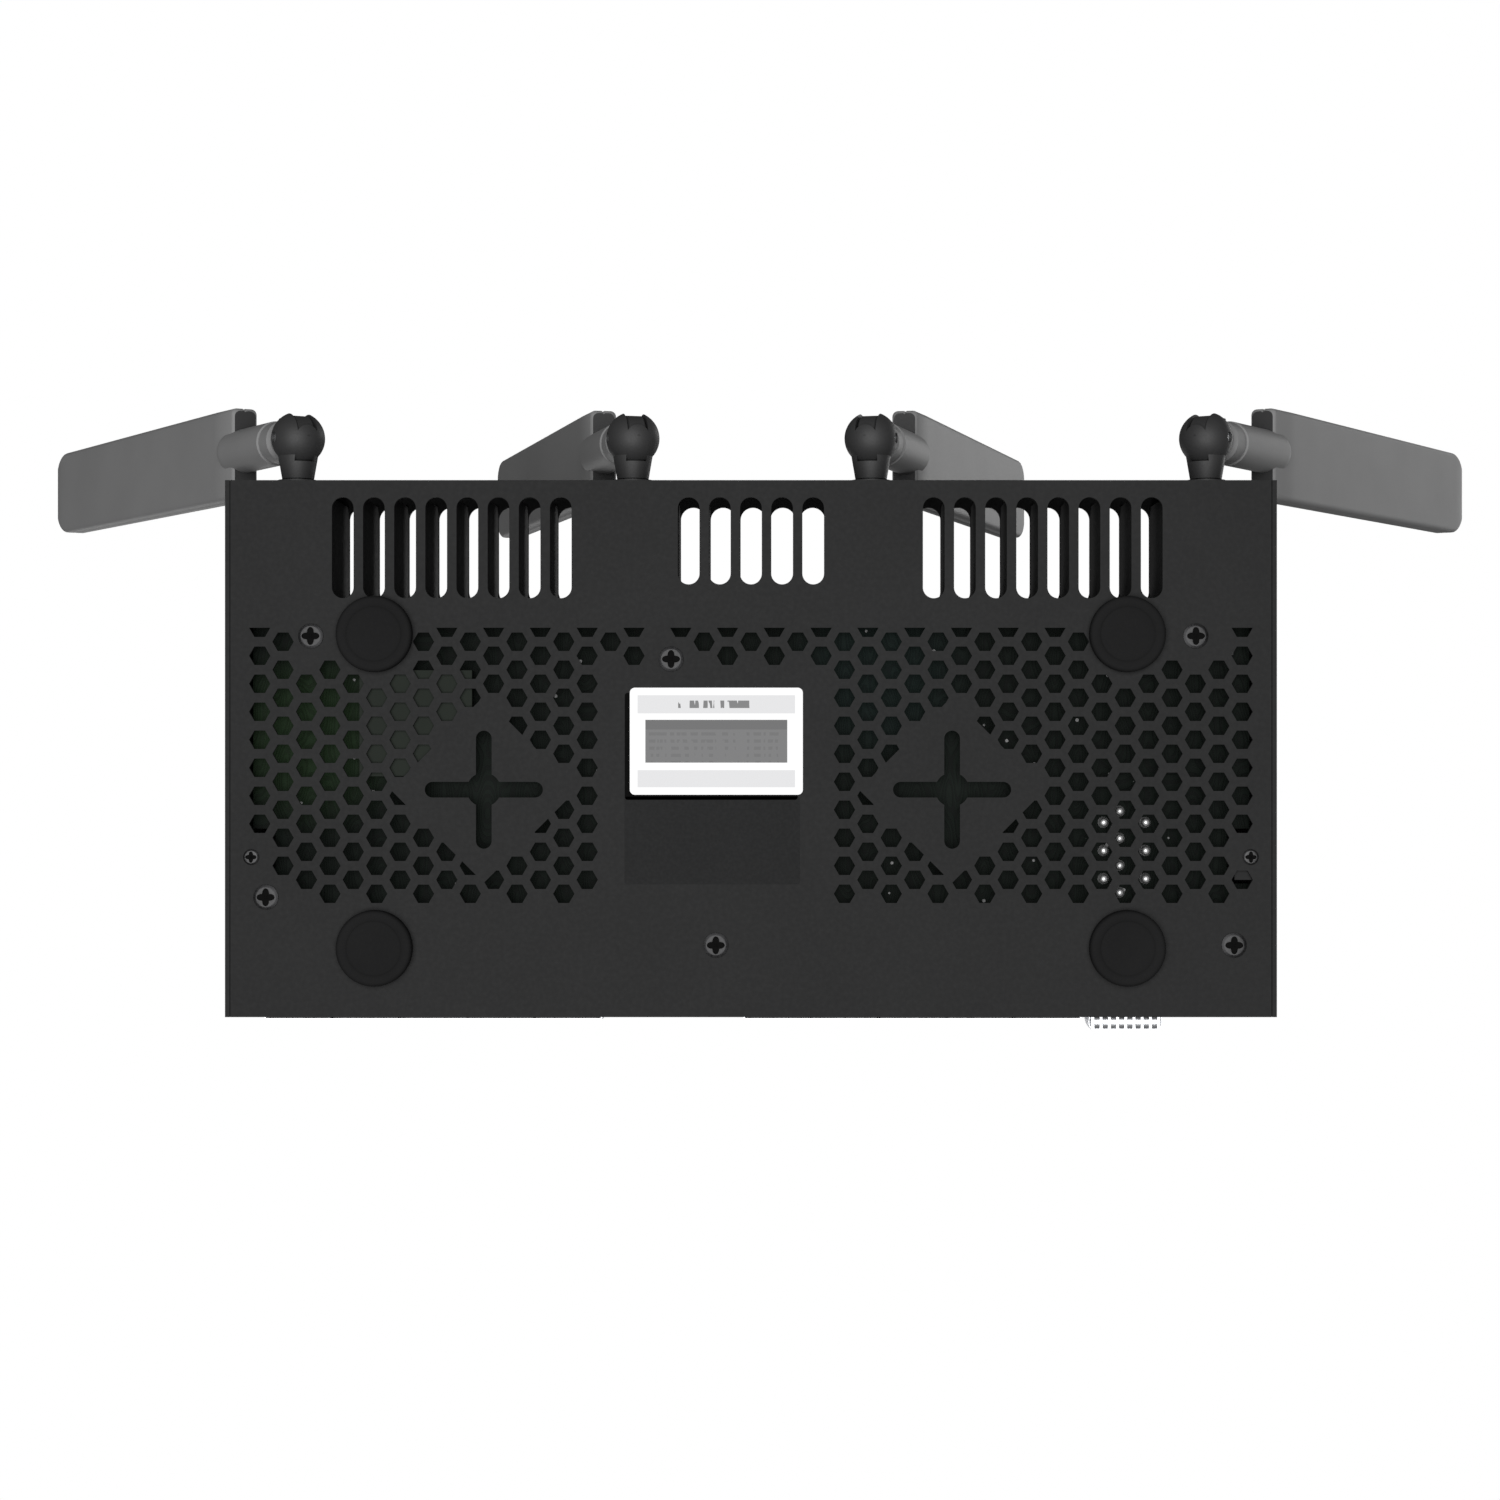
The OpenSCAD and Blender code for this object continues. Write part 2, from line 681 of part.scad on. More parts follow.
module antenna_base(i) color("#242424") at_case() translate([ant_x[i], rear_y, ant_z]) difference() {
    union() {
        translate([0, -sheet_t - thread_in, 0]) rod_y(thread_r, sheet_t + thread_in + eps);
        rod_y(collar_r, collar_t);
        rod_y(spigot_r, collar_t + spigot_len);
    }
    translate([0, -sheet_t - thread_in - eps, 0]) rod_y(lead_r + 0.05, lead_grip + 0.2);
}

// The ball turns on the base's spigot and carries the hinge pin in its two cheeks
module antenna_knuckle(i) color("#2a2a2a") antenna_place(i) difference() {
    union() {
        translate([0, -ball_back + collar_t + move_gap, 0]) rotate([-90, 0, 0])
            cylinder(r1 = neck_r, r2 = ball_neck_r, h = ball_back - collar_t - move_gap - neck_in);
        sphere(d = ball_d);
    }
    translate([0, -ball_back, 0]) rod_y(spigot_r + run_gap, collar_t + spigot_len + move_gap);
    translate([-cheek_gap / 2, -ball_cut, -ball_cut]) cube([cheek_gap, ball_d, ball_cut + ball_d]);
    translate([-ball_d, 0, 0]) rotate([0, 90, 0]) cylinder(d = pin_d, h = 2 * ball_d);
}

module hinge_pin(i) color("#b5b8bb") antenna_place(i)
    rotate([0, 90, 0]) cylinder(d = pin_d, h = ball_d - 2 * pin_inset, center = true);

// The round arm's end, as a plug that the sleeve is cut to fit
module arm_end_shape(gap) {
    translate([0, 0, arm_start]) cylinder(d = arm_d + 2 * gap, h = arm_end - arm_start);
    translate([0, 0, arm_end]) sphere(d = arm_d + 2 * gap);
}

module antenna_arm(i) color("#707070") antenna_place(i) difference() {
    union() {
        arm_end_shape(0);
        translate([-tongue_t / 2, 0, 0]) rotate([0, 90, 0]) cylinder(r = tongue_r, h = tongue_t);
        translate([-tongue_t / 2, -tongue_r, 0]) cube([tongue_t, 2 * tongue_r, arm_start + 1]);
    }
    translate([-tongue_t, 0, 0]) rotate([0, 90, 0]) cylinder(d = pin_d + 2 * run_gap, h = 2 * tongue_t);
}

// A paddle's outline in its own Y (width) and Z (length), drawn in X and Y
module paddle_outline(inset) {
    w = paddle_w - 2 * inset;
    low = sleeve_start + inset;
    high = ant_len - inset;
    tip = tip_r - inset;
    translate([-w / 2, low]) square([w, high - low - tip]);
    translate([-w / 2 + tip, low]) square([w - 2 * tip, high - low]);
    for (s = [-1, 1]) translate([s * (w / 2 - tip), high - tip]) circle(r = tip);
}

module antenna_sleeve(i) color("#747474") antenna_place(i) difference() {
    translate([-paddle_t / 2, -paddle_shift, 0]) rotate([90, 0, 90]) linear_extrude(paddle_t) paddle_outline(0);
    translate([-paddle_t / 2 + sleeve_t, -paddle_shift, 0]) rotate([90, 0, 90])
        linear_extrude(paddle_t - 2 * sleeve_t) paddle_outline(sleeve_t);
    arm_end_shape(body_gap);
}

// The strip that sends and receives stands in the sleeve, held by its edges
radiator_t = 1;
radiator_from = arm_end + arm_d / 2 + 2;
radiator_len = ant_len - sleeve_t - tip_r - radiator_from;

module antenna_radiator(i) color("#2f6b45") antenna_place(i)
    translate([0, -paddle_shift, radiator_from + radiator_len / 2])
        cube([radiator_t, paddle_w - 2 * (sleeve_t + body_gap), radiator_len], center = true);

// ---------------------------------------------------------------- what is drawn

bottom_tray();
top_cover();
base_screws();
cover_screws();
rubber_feet();
rating_label();
main_board();
board_spacers();
board_screws();
vent_vanes();
left_socket_bodies();
socket_shields();
right_socket_bodies();
socket_contacts();
fibre_cage();
fibre_connector();
power_jack();
power_pin();
reset_switch();
reset_button();
light_guide();
status_lights();
processor();
heat_sink();
thermal_pad();
memory_chips();
switch_chip();
transformer_modules();
capacitors();
power_coils();
radio_shield();
antenna_nuts();
for (i = [0:3]) {
    antenna_lead(i);
    antenna_base(i);
    antenna_knuckle(i);
    hinge_pin(i);
    antenna_arm(i);
    antenna_sleeve(i);
    antenna_radiator(i);
}
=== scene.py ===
# %% [markdown]
# # A wireless router, seen from underneath
#
# The case is folded steel with a powder coat, the four antennas are moulded
# plastic, and the small bright parts are nickel, tin and gold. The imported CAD
# model is the frame that everything sits on. This notebook gives each piece its
# finish, and builds the pieces whose shape is softer than the CAD solid: the
# paddles, arms, feet, screw heads, label and spring fingers.

# %% Load the frame
import json
import math

import bpy
import numpy as np
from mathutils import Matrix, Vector


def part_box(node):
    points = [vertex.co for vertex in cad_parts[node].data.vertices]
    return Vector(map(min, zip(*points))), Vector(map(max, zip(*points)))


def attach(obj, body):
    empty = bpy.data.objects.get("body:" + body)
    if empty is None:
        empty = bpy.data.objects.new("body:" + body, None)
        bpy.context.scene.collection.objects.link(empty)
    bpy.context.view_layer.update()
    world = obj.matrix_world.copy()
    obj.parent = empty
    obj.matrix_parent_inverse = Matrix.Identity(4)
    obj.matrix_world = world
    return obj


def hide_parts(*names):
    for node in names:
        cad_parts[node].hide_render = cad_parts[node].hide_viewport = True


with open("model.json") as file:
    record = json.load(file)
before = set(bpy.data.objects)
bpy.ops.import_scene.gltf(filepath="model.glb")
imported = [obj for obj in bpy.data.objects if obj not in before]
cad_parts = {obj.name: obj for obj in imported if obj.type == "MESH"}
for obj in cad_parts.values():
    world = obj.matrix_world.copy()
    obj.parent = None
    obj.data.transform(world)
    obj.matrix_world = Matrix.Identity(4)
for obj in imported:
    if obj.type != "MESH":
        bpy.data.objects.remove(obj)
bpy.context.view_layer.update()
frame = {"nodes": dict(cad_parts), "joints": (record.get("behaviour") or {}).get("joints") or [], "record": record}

MM = 0.001
nodes = frame["nodes"]
joints = {j["name"]: j for j in frame["joints"]}
print("CAD nodes:", len(nodes), "joints:", len(joints))

# %% [markdown]
# ## Meshes from arrays
#
# Each new piece is one or more closed skins. A skin is a grid of points: its
# rows are rings round the piece, and each ring joins up with itself. The first
# and last rings are closed with a fan of triangles. Working with whole arrays
# keeps the shapes as formulas, and one signed volume per skin tells whether its
# faces look outwards, so that a shape is never left inside out.

# %% Skins and pieces
def skin(rings):
    """A closed skin from rings: an array of rows x points x 3. Neighbouring rings are joined by four-sided
    faces, and a point at the middle of each end ring closes it. The faces are turned outwards."""
    rings = np.asarray(rings, float)
    rows, around = rings.shape[:2]
    index = np.arange(rows * around).reshape(rows, around)
    ahead = np.roll(index, -1, axis=1)
    quads = np.stack([index[:-1], ahead[:-1], ahead[1:], index[1:]], axis=-1).reshape(-1, 4)
    ends = rows * around + np.arange(2)
    low = np.stack([ahead[0], index[0], np.full(around, ends[0])], axis=-1)
    high = np.stack([index[-1], ahead[-1], np.full(around, ends[1])], axis=-1)
    points = np.concatenate([rings.reshape(-1, 3), rings[[0, -1]].mean(axis=1)])
    triangles = np.concatenate([quads[:, :3], quads[:, [0, 2, 3]], low, high])
    a, b, c = (points[triangles[:, k]] for k in range(3))
    if np.einsum("ij,ij->i", a, np.cross(b, c)).sum() < 0:
        quads, low, high = quads[:, ::-1], low[:, ::-1], high[:, ::-1]
    return points, [quads, np.concatenate([low, high])]


def piece(name, skins, material, body, sharp=38, stands_for=(), depth=None):
    """One object from several skins, with edges over the sharp angle kept crisp, riding on a body. A depth
    for every point, when given, is kept as an attribute that the material can read."""
    points, faces, first = [], [], 0
    for own_points, own_faces in skins:
        points.append(own_points)
        faces += [tuple(f) for part in own_faces for f in (part + first).tolist()]
        first += len(own_points)
    mesh = bpy.data.meshes.new(name)
    mesh.from_pydata(np.concatenate(points).tolist(), [], faces)
    mesh.polygons.foreach_set("use_smooth", np.ones(len(faces), bool))
    mesh.set_sharp_from_angle(angle=math.radians(sharp))
    mesh.materials.append(material)
    if depth is not None:
        mesh.attributes.new("depth", "FLOAT", "POINT").data.foreach_set("value", np.concatenate(depth))
    made = bpy.data.objects.new(name, mesh)
    bpy.context.scene.collection.objects.link(made)
    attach(made, body)
    if stands_for:
        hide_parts(*stands_for)
    return made


def turned(radii, heights, around=40):
    """A turned skin about Z. Each ring is a circle: radius times cosine and sine of the angle."""
    angle = np.linspace(0, 2 * np.pi, around, endpoint=False)
    radii, heights = np.asarray(radii, float)[:, None], np.asarray(heights, float)[:, None]
    return np.stack([radii * np.cos(angle), radii * np.sin(angle), heights + 0 * angle], axis=-1)


def rounded_rectangle(half_x, half_y, radius, corner=6):
    """Points round a rectangle with round corners: each corner is a quarter circle about a point that lies
    one radius in from both sides."""
    turn = np.linspace(0, np.pi / 2, corner)
    signs = [(1, 1), (-1, 1), (-1, -1), (1, -1)]
    parts = [
        np.stack([
            sx * (half_x - radius) + radius * np.cos(turn + k * np.pi / 2),
            sy * (half_y - radius) + radius * np.sin(turn + k * np.pi / 2),
        ], axis=-1)
        for k, (sx, sy) in enumerate(signs)
    ]
    return np.concatenate(parts)


# %% [markdown]
# ## Finishes
#
# Every finish is a Principled surface fed by noise in object coordinates, which
# are metres here, so a scale of 1000 gives grains about a millimetre across. A
# small helper adds and links nodes. The mix of a broad and a fine noise shifts
# the colour a little, the fine one drives the roughness, and a bump gives the
# grain: orange peel on powder coat, sand on moulded plastic, long scratches on
# rolled metal.

# %% Node helpers
def node(tree, kind, **settings):
    """Add a node, set its properties, and give its numbered or named inputs a value or a link."""
    made = tree.nodes.new(kind)
    inputs = settings.pop("inputs", {})
    for name, value in settings.items():
        setattr(made, name, value)
    for name, value in inputs.items():
        if isinstance(value, bpy.types.NodeSocket):
            tree.links.new(value, made.inputs[name])
        else:
            made.inputs[name].default_value = value
    return made


def blank(name):
    """A new material with a Principled surface, its tree, and its object coordinates."""
    material = bpy.data.materials.new(name)
    material.use_nodes = True
    tree = material.node_tree
    surface = tree.nodes["Principled BSDF"]
    coords = node(tree, "ShaderNodeTexCoord").outputs["Object"]
    return material, tree, surface, coords


def noise(tree, coords, scale, detail=3.0, stretch=(1, 1, 1)):
    """Fractal noise from 0 to 1, with its coordinates stretched along an axis when asked."""
    if stretch != (1, 1, 1):
        coords = node(tree, "ShaderNodeMapping", inputs={"Vector": coords, "Scale": stretch}).outputs[0]
    made = node(tree, "ShaderNodeTexNoise", inputs={"Vector": coords, "Scale": scale, "Detail": detail})
    return made.outputs[0]


def maths(tree, operation, first, second):
    """The result of a maths operation on two values."""
    return node(tree, "ShaderNodeMath", operation=operation, inputs={0: first, 1: second}).outputs[0]


def spread_to(tree, value, low, high):
    """Carry a 0 to 1 value to the range from low to high, over the middle of a noise's own range."""
    return node(tree, "ShaderNodeMapRange", inputs={
        "Value": value, "From Min": 0.3, "From Max": 0.7, "To Min": low, "To Max": high}).outputs[0]


def mixed(tree, share, first, second):
    """Mix two colours by a share from 0 to 1."""
    made = node(tree, "ShaderNodeMix", data_type="RGBA")
    for socket, value in ((made.inputs[0], share), (made.inputs[6], first), (made.inputs[7], second)):
        if isinstance(value, bpy.types.NodeSocket):
            tree.links.new(value, socket)
        else:
            socket.default_value = value
    return made.outputs[2]


def shade(colour, amount):
    """A colour made lighter or darker by a factor, with its alpha kept."""
    return tuple(min(1.0, c * amount) for c in colour[:3]) + (1.0,)


def coated(name, colour, rough, metal=0.0, grain=1400, relief=0.02, patch=60, vary=0.12, stretch=(1, 1, 1),
           specular=0.5, coat=0.0):
    """A finish with a broad patchiness, a fine grain in colour and roughness, and a bump of the grain."""
    material, tree, surface, coords = blank(name)
    broad = noise(tree, coords, patch, 2.0, stretch)
    fine = noise(tree, coords, grain, 4.0, stretch)
    tone = mixed(tree, spread_to(tree, broad, 0, 1), shade(colour, 1 - vary), shade(colour, 1 + vary))
    speck = mixed(tree, spread_to(tree, fine, 0, 1), shade(colour, 1 - vary / 2), shade(colour, 1 + vary))
    tree.links.new(mixed(tree, 0.5, tone, speck), surface.inputs["Base Color"])
    tree.links.new(spread_to(tree, fine, rough - 0.06, rough + 0.06), surface.inputs["Roughness"])
    bump = node(tree, "ShaderNodeBump", inputs={"Height": fine, "Distance": relief * MM, "Strength": 0.6})
    tree.links.new(bump.outputs[0], surface.inputs["Normal"])
    surface.inputs["Metallic"].default_value = metal
    surface.inputs["Specular IOR Level"].default_value = specular
    surface.inputs["Coat Weight"].default_value = coat
    return material


# %% [markdown]
# The case has a charcoal powder coat. It is sprayed as dust and baked, so it
# has a faint orange peel, and its gloss is low and even. The antennas are a
# lighter grey plastic with a finer spark-eroded grain, and the hinge balls are
# darker.

# %% The finishes
case_coat = coated("case_powder_coat", (0.0165, 0.0166, 0.0168), 0.66, grain=1100, relief=0.05, patch=35,
                   vary=0.1, specular=0.14)
antenna_grey = coated("antenna_moulded_grey", (0.215, 0.215, 0.216), 0.55, grain=2600, relief=0.03,
                      vary=0.07, specular=0.25)
hinge_black = coated("hinge_moulded_black", (0.03, 0.03, 0.0305), 0.55, grain=2400, relief=0.03, vary=0.1,
                     specular=0.35)
foot_rubber = coated("foot_soft_rubber", (0.009, 0.009, 0.0092), 0.8, grain=1700, relief=0.06, vary=0.2,
                     specular=0.12)
nickel = coated("nickel_plate", (0.68, 0.69, 0.7), 0.26, metal=1.0, grain=3200, relief=0.01, vary=0.06)
tin = coated("bright_tin_plate", (0.66, 0.67, 0.69), 0.3, metal=1.0, grain=900, relief=0.01, vary=0.1,
             stretch=(1, 12, 1))
brass = coated("turned_brass", (0.62, 0.46, 0.22), 0.32, metal=1.0, grain=2400, relief=0.01, vary=0.08)
gold = coated("gold_plate", (0.83, 0.6, 0.22), 0.2, metal=1.0, grain=3000, relief=0.005, vary=0.05)
aluminium = coated("anodised_aluminium", (0.5, 0.51, 0.53), 0.38, metal=1.0, grain=1500, relief=0.02,
                   vary=0.08, stretch=(10, 1, 1))
socket_black = coated("socket_moulded_black", (0.012, 0.012, 0.013), 0.42, grain=2200, relief=0.02, vary=0.15)
chip_black = coated("chip_moulded_black", (0.018, 0.018, 0.02), 0.55, grain=2800, relief=0.02, vary=0.15)
ferrite = coated("pressed_ferrite", (0.045, 0.045, 0.048), 0.6, grain=1900, relief=0.04, vary=0.2)
sleeve_blue = coated("capacitor_sleeve", (0.025, 0.03, 0.05), 0.28, grain=900, relief=0.01, vary=0.1,
                     coat=0.4)
pad_grey = coated("heat_pad_silicone", (0.0185, 0.0222, 0.0182), 0.85, grain=700, relief=0.08, patch=90,
                  vary=0.12, specular=0.1)
lead_black = coated("lead_jacket", (0.02, 0.02, 0.021), 0.4, grain=1300, relief=0.02, vary=0.1)
button_grey = coated("button_moulded_grey", (0.035, 0.035, 0.037), 0.4, grain=2400, relief=0.02, vary=0.1)
guide_clear = coated("light_guide_clear", (0.72, 0.76, 0.78), 0.16, grain=800, relief=0.005, vary=0.04,
                     coat=0.5)
lens_green = coated("light_lens_green", (0.35, 0.7, 0.4), 0.25, grain=1500, relief=0.005, vary=0.06)
print("finishes:", len(bpy.data.materials))

# %% [markdown]
# The circuit board shows through the vents, deep in shadow. Its solder mask is
# nearly black-green, and two round patches are painted greener, as painted
# light where light reaches the board through the vents. The tracks stand a few
# hundredths of a millimetre proud and look lighter, and small solder joints dot
# the underside.

# %% Circuit board
# Centres and radius of the two round patches of painted light on the board.
lit_patch_green_centre = (0.096, -0.006, 0)
lit_patch_teal_centre = (-0.028, 0.008, 0)
lit_patch_radius = 0.024


def painted_light_round(tree, coords, centre, radius):
    """1 at a centre, falling smoothly to 0 at a radius, measured in the plane of the board."""
    off = node(tree, "ShaderNodeVectorMath", operation="SUBTRACT", inputs={0: coords, 1: centre}).outputs[0]
    flat = node(tree, "ShaderNodeVectorMath", operation="MULTIPLY", inputs={0: off, 1: (1, 1, 0)})
    far = node(tree, "ShaderNodeVectorMath", operation="LENGTH", inputs={0: flat.outputs[0]}).outputs["Value"]
    return node(tree, "ShaderNodeMapRange", interpolation_type="SMOOTHSTEP", inputs={
        "Value": far, "From Min": radius, "From Max": radius * 0.3}).outputs[0]


def circuit_board():
    """Dark mask with two round patches of painted light, one greener and one teal, tracks where stretched
    noise crosses its middle, and a few small tin dots on a cell pattern."""
    material, tree, surface, coords = blank("board_solder_mask")
    tracks = noise(tree, coords, 260, 0.0, (1, 0.25, 1))
    line = maths(tree, "PINGPONG", tracks, 0.035)
    on_track = node(tree, "ShaderNodeMapRange", inputs={
        "Value": line, "From Min": 0.012, "From Max": 0.018}).outputs[0]
    mask = mixed(tree, on_track, (0.0012, 0.0028, 0.0018, 1), (0.002, 0.005, 0.003, 1))
    # Painted light: the mask turns greener, and teal, in two round patches where light reaches the board.
    green = mixed(tree, on_track, (0.008, 0.019, 0.006, 1), (0.011, 0.026, 0.009, 1))
    mask = mixed(tree, painted_light_round(tree, coords, lit_patch_green_centre, lit_patch_radius), mask, green)
    teal = mixed(tree, on_track, (0.003, 0.008, 0.007, 1), (0.005, 0.012, 0.010, 1))
    mask = mixed(tree, painted_light_round(tree, coords, lit_patch_teal_centre, lit_patch_radius), mask, teal)
    cells = node(tree, "ShaderNodeTexVoronoi", inputs={"Vector": coords, "Scale": 190, "Randomness": 0.8})
    dot = node(tree, "ShaderNodeMapRange", inputs={
        "Value": cells.outputs["Distance"], "From Min": 0.085, "From Max": 0.07}).outputs[0]
    tree.links.new(mixed(tree, dot, mask, (0.2, 0.2, 0.2, 1)), surface.inputs["Base Color"])
    tree.links.new(dot, surface.inputs["Metallic"])
    height = maths(tree, "ADD", on_track, dot)
    bump = node(tree, "ShaderNodeBump", inputs={"Height": height, "Distance": 0.05 * MM, "Strength": 0.5})
    tree.links.new(bump.outputs[0], surface.inputs["Normal"])
    surface.inputs["Roughness"].default_value = 0.6
    surface.inputs["Specular IOR Level"].default_value = 0.1
    return material


board_green = circuit_board()

# %% [markdown]
# ## Give the CAD nodes their finishes
#
# A CAD node whose shape is right keeps its mesh and only changes material. The
# record's slots say what each node is made of, so one table from slot to finish
# covers them all.

# %% Finishes by slot
finish_of = {
    "case_paint": case_coat, "foot_rubber": foot_rubber, "screw_steel": nickel, "spacer_brass": brass,
    "board_green": board_green, "shield_tin": tin, "socket_plastic": socket_black, "contact_gold": gold,
    "button_plastic": button_grey, "clear_plastic": guide_clear, "light_lens": lens_green,
    "chip_black": chip_black, "sink_aluminium": aluminium, "pad_silicone": pad_grey,
    "capacitor_sleeve": sleeve_blue, "coil_ferrite": ferrite, "lead_jacket": lead_black,
    "hinge_plastic": hinge_black, "antenna_plastic": antenna_grey,
}
slot_of = {part["node"]: part["material_slot"] for part in frame["record"]["subparts"]}
for name, cad in nodes.items():
    finish = finish_of.get(slot_of[name])
    if finish is not None:
        cad.data.materials.clear()
        cad.data.materials.append(finish)
print("slots used:", len(set(slot_of.values())))

# %% [markdown]
# ## Antenna paddles
#
# Each paddle is a flat moulded sleeve, wide from front to back and thin from
# side to side. It is a stack of rounded rectangles along the antenna. Near the
# tip the width follows a circle, which makes the round corners, and the
# thickness follows a smaller one. A shallow groove runs up each narrow side,
# where the two halves of the mould met. The hinge joints give every antenna's
# own axes, so the same function builds all four.

# %% Antenna axes
def antenna_frame(number):
    """Origin and axes of an antenna at rest: its own X across the thickness, Y along the width and Z along
    its length, which is X crossed with Y. The fold joint turns about minus X."""
    fold = joints[f"fold_{number}"]
    across = -np.array(fold["axis"], float)
    width = np.array([0.0, 1.0, 0.0])
    along = np.cross(across, width)
    return np.array(fold["pos_m"], float), np.stack([across, width, along])


def points_of(name):
    """All the points of a CAD node, as an array of points x 3."""
    mesh = nodes[name].data
    flat = np.empty(len(mesh.vertices) * 3)
    mesh.vertices.foreach_get("co", flat)
    return flat.reshape(-1, 3)


def own_box(name, origin, axes):
    """Lowest and highest corner of a CAD node in an antenna's own axes."""
    own = (points_of(name) - origin) @ axes.T
    return own.min(axis=0), own.max(axis=0)


def placed(rings, origin, axes):
    """Carry points from an antenna's own axes to the shared frame."""
    return np.asarray(rings) @ axes + origin


# %% [markdown]
# The paddle's corners at the tip are large and its long edges are small. Both
# are what lets a moulded part leave its tool, and both catch a line of light
# that shows the paddle's thickness.

# %% Paddle shape
tip_radius = 6.2 * MM
edge_radius = 1.3 * MM
groove_depth = 0.3 * MM
groove_half = 0.35 * MM


def paddle_ring(half_thick, half_wide, z, middle):
    """A rounded rectangle round Y = middle, with a V-shaped groove in the middle of both narrow sides."""
    radius = min(edge_radius, half_thick * 0.9, half_wide * 0.9)
    turn = np.linspace(0, np.pi / 2, 6)
    side = np.array([groove_half, 0.0, -groove_half])
    deep = np.array([0.0, groove_depth, 0.0])
    parts = []
    for sx, sy, start in ((1, 1, 0.0), (-1, 1, 0.5), (-1, -1, 1.0), (1, -1, 1.5)):
        angle = turn + start * np.pi
        x = sx * (half_thick - radius) + radius * np.cos(angle)
        y = sy * (half_wide - radius) + radius * np.sin(angle)
        parts.append(np.stack([x, y], axis=-1))
        if start in (0.0, 1.0):
            parts.append(np.stack([sy * side, sy * (half_wide - deep)], axis=-1))
    outline = np.concatenate(parts) + [0.0, middle]
    return np.column_stack([outline, np.full(len(outline), z)])


def paddle_rings(low, high):
    """Stations along the length. Within one tip radius of the end the half width is that of the flat end
    plus the height of a circle; within one edge radius of either end the half thickness does the same."""
    half_thick, half_wide = (high[0] - low[0]) / 2, (high[1] - low[1]) / 2
    root, tip, middle = low[2], high[2], (low[1] + high[1]) / 2
    quarter = np.linspace(0, np.pi / 2, 9)
    near_tip = tip - tip_radius + tip_radius * np.sin(quarter)
    near_root = root + edge_radius * (1 - np.cos(quarter[:7]))
    stations = np.concatenate([near_root, np.linspace(near_root[-1], near_tip[0], 12)[1:-1], near_tip])
    rings = []
    for z in stations:
        past = max(0.0, z - (tip - tip_radius)) / tip_radius
        wide = half_wide - tip_radius * (1 - math.sqrt(max(0.0, 1 - past * past)))
        to_end = max(0.0, 1 - min(z - root, tip - z) / edge_radius)
        drop = edge_radius * (1 - math.sqrt(max(0.0, 1 - to_end * to_end)))
        root_drop = drop if z - root < edge_radius else 0.0
        rings.append(paddle_ring(half_thick - drop, wide - root_drop, z, middle))
    return np.array(rings)


# %% [markdown]
# The arm is a round rod that grows out of the hinge and ends in a dome, which
# stands a little proud of both faces of the paddle. A flat tongue carries it
# into the ball, between the two cheeks. The tongue is moulded in the darker
# plastic of the hinge. A plug of the same dark plastic closes the root of the
# sleeve as painted shade, for the shaded end of the paddle next to the arm. A
# curved band joins the ball's two cheeks below the tongue and makes the ball look whole.

# %% Arm shape
arm_chamfer = 0.7 * MM
collar_end = 5.4 * MM
collar_groove = 0.45 * MM
collar_step = 0.3 * MM
arm_seat = 0.4 * MM
tongue_thick = 4 * MM


def arm_rings(low, high, start):
    """A rod that starts as a slightly thinner collar, steps out over a shallow groove, and ends in a half
    sphere."""
    radius = (high[1] - low[1]) / 2
    centre = high[2] - radius
    quarter = np.linspace(0, np.pi / 2, 10)
    step = start + collar_end
    heights = [start, start + arm_chamfer, step - collar_step, step, step + collar_step, centre]
    thin = radius - collar_step
    radii = [thin - arm_chamfer, thin, thin, radius - collar_groove * 2, radius, radius]
    heights += list(centre + radius * np.sin(quarter[1:-1])) + [centre + radius * 0.9995]
    radii += list(radius * np.cos(quarter[1:-1])) + [radius * 0.03]
    return turned(radii, heights, 48)


def tongue_rings(low, top, thick):
    """A flat tongue with a round lower end: rings are the outline at steps across the thickness."""
    half = -low
    turn = np.linspace(np.pi, 2 * np.pi, 24)
    outline = np.concatenate([
        np.stack([half * np.cos(turn), half * np.sin(turn)], axis=-1), [[half, top], [-half, top]]])
    edge = 0.3 * MM
    across = np.array([-thick / 2, -thick / 2 + edge, thick / 2 - edge, thick / 2])
    scale = np.array([1 - edge / half, 1, 1, 1 - edge / half])
    return np.array([
        np.column_stack([np.full(len(outline), x), outline * [s, s]]) for x, s in zip(across, scale)])


def painted_shade_plug_rings(low, high):
    """Painted shade: a dark plug in the open root of the sleeve. Its outline is the paddle's, drawn in by a thin
    wall, and it stands a hair proud of the sleeve's end."""
    wall, proud, deep = 0.7 * MM, 0.08 * MM, 2 * MM
    half = (high - low)[:2] / 2 - wall
    middle = (low[1] + high[1]) / 2
    return np.array([paddle_ring(half[0], half[1], low[2] + z, middle) for z in (-proud, deep)])


cheek_half = 2.3 * MM
tongue_room = 0.3 * MM


def band_rings(ball, inner):
    """A strip between the cheeks, at stations round the hinge from the front to the underside. Its outer
    face follows the ball: the square root of the ball's radius squared less X squared."""
    x = np.linspace(-cheek_half, cheek_half, 9)
    outer = np.sqrt(ball**2 - x**2) - 0.02 * MM
    section_x = np.concatenate([x, [cheek_half, -cheek_half]])
    section_r = np.concatenate([outer, [inner, inner]])
    angle = np.radians(np.linspace(178, 272, 16))[:, None]
    return np.stack([section_x + 0 * angle, section_r * np.cos(angle), section_r * np.sin(angle)], axis=-1)


